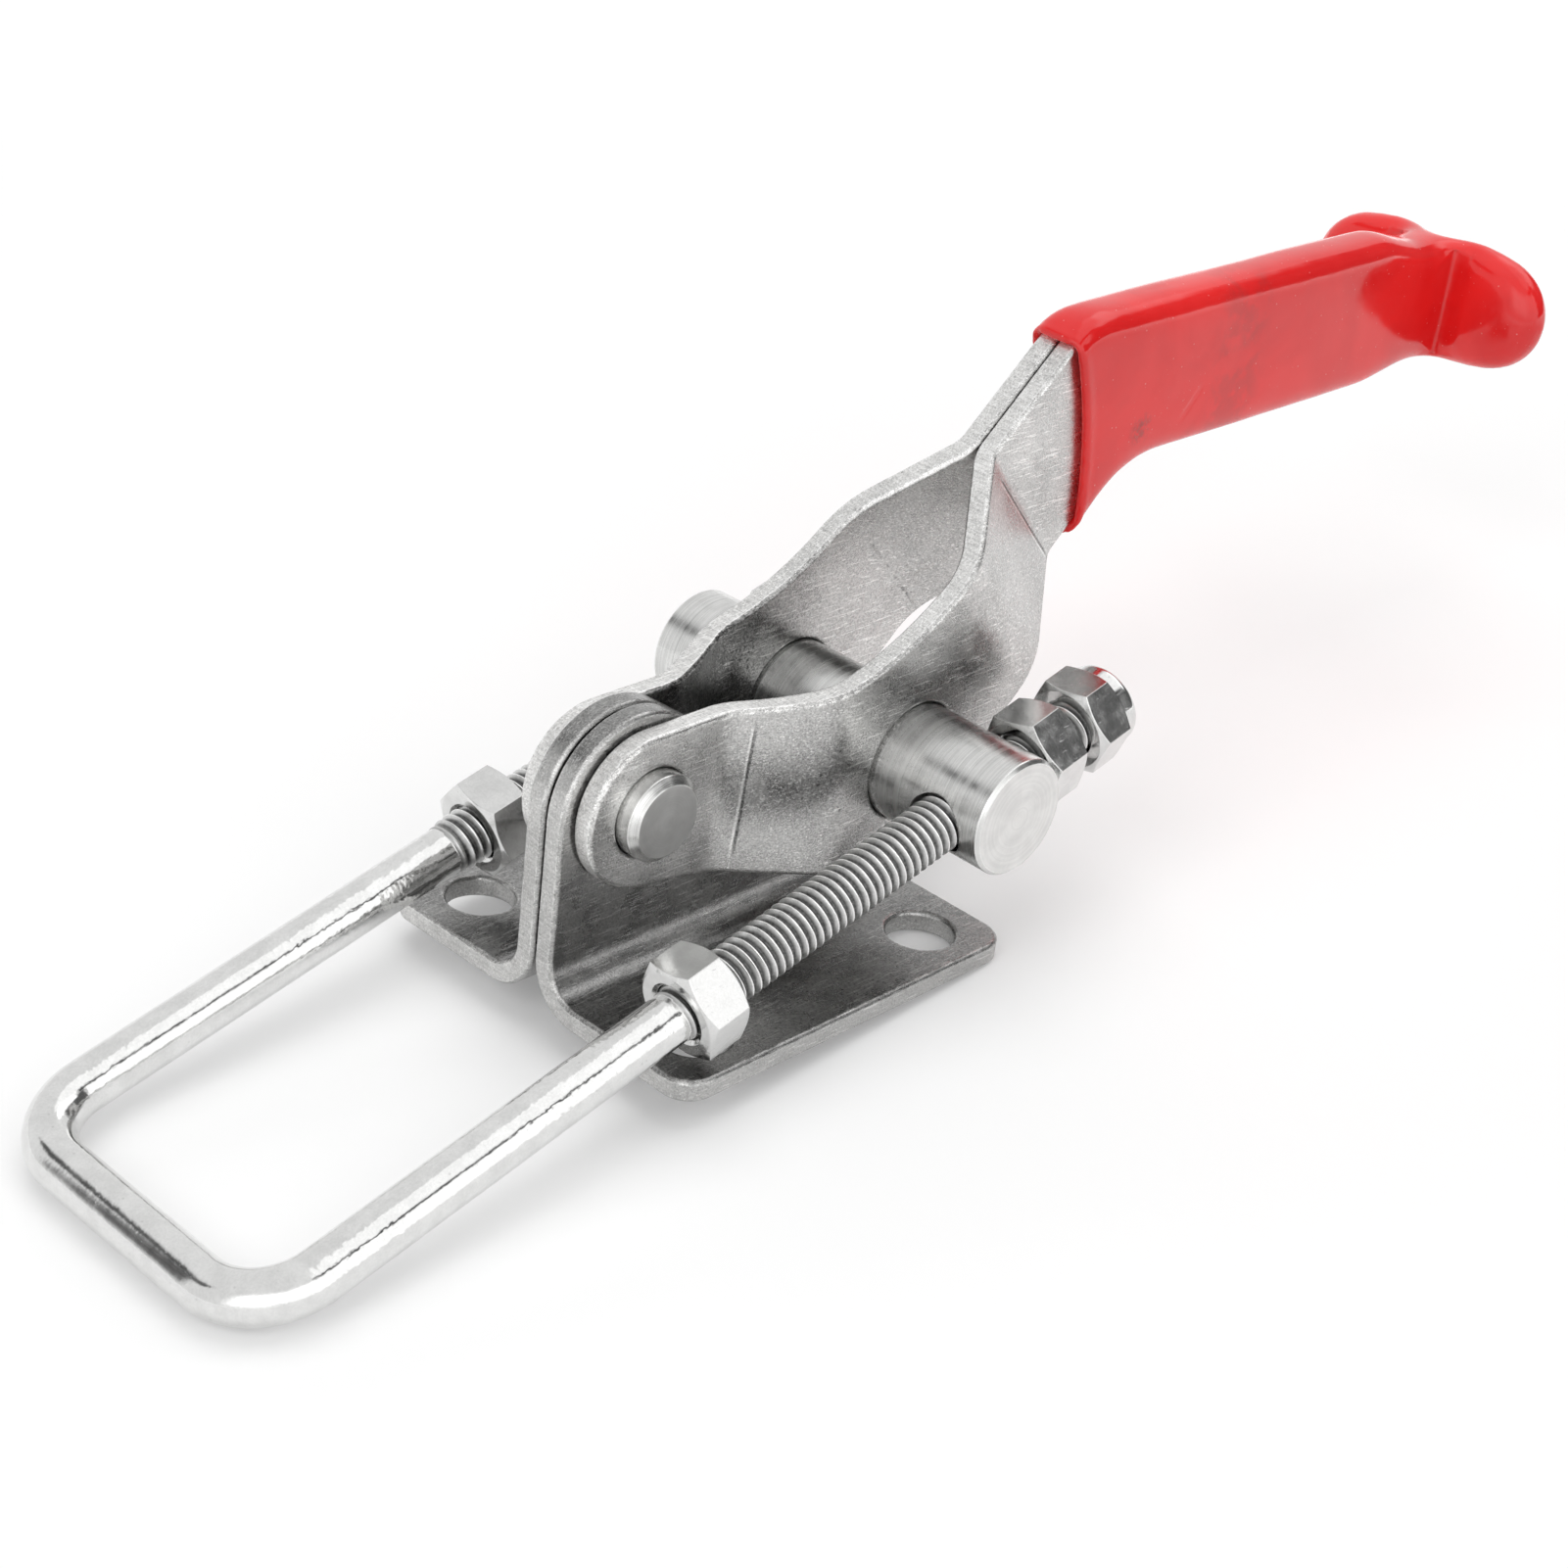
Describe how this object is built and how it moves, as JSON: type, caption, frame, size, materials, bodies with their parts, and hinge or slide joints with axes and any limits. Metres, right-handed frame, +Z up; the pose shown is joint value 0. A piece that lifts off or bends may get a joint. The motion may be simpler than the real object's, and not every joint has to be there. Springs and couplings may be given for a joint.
{
  "type": "over centre toggle latch",
  "caption": "Over centre toggle latch: folded base plates, pivoting two-plate handle with vinyl T grip, cross bar and an adjustable threaded U-bolt.",
  "frame": {"origin": "centre of the four base holes, on the mounting face", "axes": "+X from the U-bolt towards the grip, +Y to the right seen from the grip, +Z up from the mounting face"},
  "size_m": [0.2585, 0.0626, 0.0888],
  "materials": {
    "pressed_stainless": "tumbled satin",
    "turned_stainless": "turned",
    "bright_stainless": "polished",
    "vinyl": "glossy dipped vinyl",
    "nylon": "natural nylon"
  },
  "bodies": {
    "base": {"base_plate_left": "pressed_stainless", "base_plate_right": "pressed_stainless", "pivot_pin": "turned_stainless"},
    "handle": {"handle_plate_left": "pressed_stainless", "handle_plate_right": "pressed_stainless", "grip": "vinyl"},
    "trunnion": {"trunnion_bar": "turned_stainless"},
    "u_bolt": {"u_bolt": "bright_stainless", "front_nut_left": "bright_stainless", "front_nut_right": "bright_stainless", "rear_nut_left": "bright_stainless", "rear_nut_right": "bright_stainless", "lock_nut_left": "bright_stainless", "lock_nut_right": "bright_stainless", "lock_nut_insert_left": "nylon", "lock_nut_insert_right": "nylon"}
  },
  "joints": [
    {"name": "handle_pivot", "type": "hinge", "parent": "base", "child": "handle", "pos_m": [-0.0186, 0, 0.0282], "axis": [0, -1, 0], "range_deg": [0, 150]},
    {"name": "trunnion_swivel", "type": "hinge", "parent": "handle", "child": "trunnion", "pos_m": [0.0246, 0, 0.0256], "axis": [0, -1, 0], "range_deg": [-150, 0]},
    {"name": "u_bolt_slide", "type": "slide", "parent": "trunnion", "child": "u_bolt", "axis": [0.9673, 0, 0.2538], "range_m": [0, 0.034]}
  ],
  "couplings": [
    {"joint": "trunnion_swivel", "follows": "handle_pivot", "ratio": -1}
  ]
}
